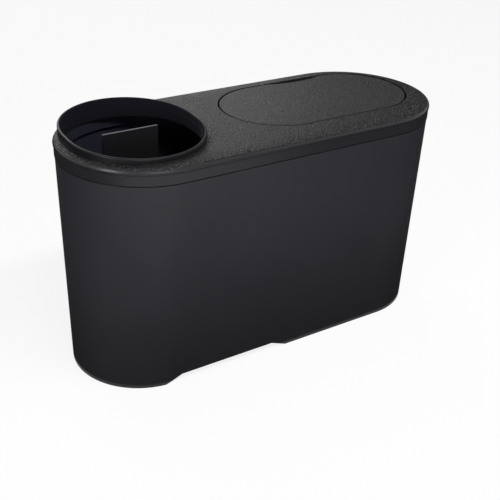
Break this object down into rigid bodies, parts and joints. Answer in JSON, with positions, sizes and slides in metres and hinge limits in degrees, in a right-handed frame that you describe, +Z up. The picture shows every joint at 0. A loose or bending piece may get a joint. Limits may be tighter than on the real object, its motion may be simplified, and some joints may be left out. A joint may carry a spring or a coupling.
{
  "type": "car trash bin",
  "caption": "Slim car trash bin with round ends: tapered bucket, lift-off lid with an open mouth in a drop-in collar, and a sprung flap that is pressed in to open.",
  "frame": {"origin": "on the ground under the middle of the lid", "axes": "+X along the bin from the mouth to the flap, +Y from the front to the back, +Z up"},
  "size_m": [0.23, 0.095, 0.1399],
  "materials": {
    "black_plastic": "satin moulded black plastic",
    "grained_plastic": "black plastic with a fine leather grain on top",
    "collar_plastic": "smooth satin black plastic",
    "flap_plastic": "black plastic with a fine leather grain on top",
    "rod_steel": "drawn steel rod",
    "spring_steel": "bright spring wire"
  },
  "bodies": {
    "base": {"bucket": "black_plastic"},
    "cover": {"lid": "grained_plastic", "flap_rod": "rod_steel", "spring_left": "spring_steel", "spring_right": "spring_steel"},
    "collar": {"mouth_collar": "collar_plastic"},
    "door": {"flap": "flap_plastic"}
  },
  "joints": [
    {"name": "lid_lift", "type": "slide", "parent": "base", "child": "cover", "axis": [0, 0, 1], "range_m": [0, 0.04]},
    {"name": "collar_lift", "type": "slide", "parent": "cover", "child": "collar", "axis": [0, 0, 1], "range_m": [0, 0.02]},
    {"name": "flap_swing", "type": "hinge", "parent": "cover", "child": "door", "pos_m": [0.04625, -0.0245, 0.1282], "axis": [-1, 0, 0], "range_deg": [0, 75], "stiffness_Nm_per_rad": 0.012, "springref_deg": -68.75, "deforming": ["spring_left", "spring_right"]}
  ]
}
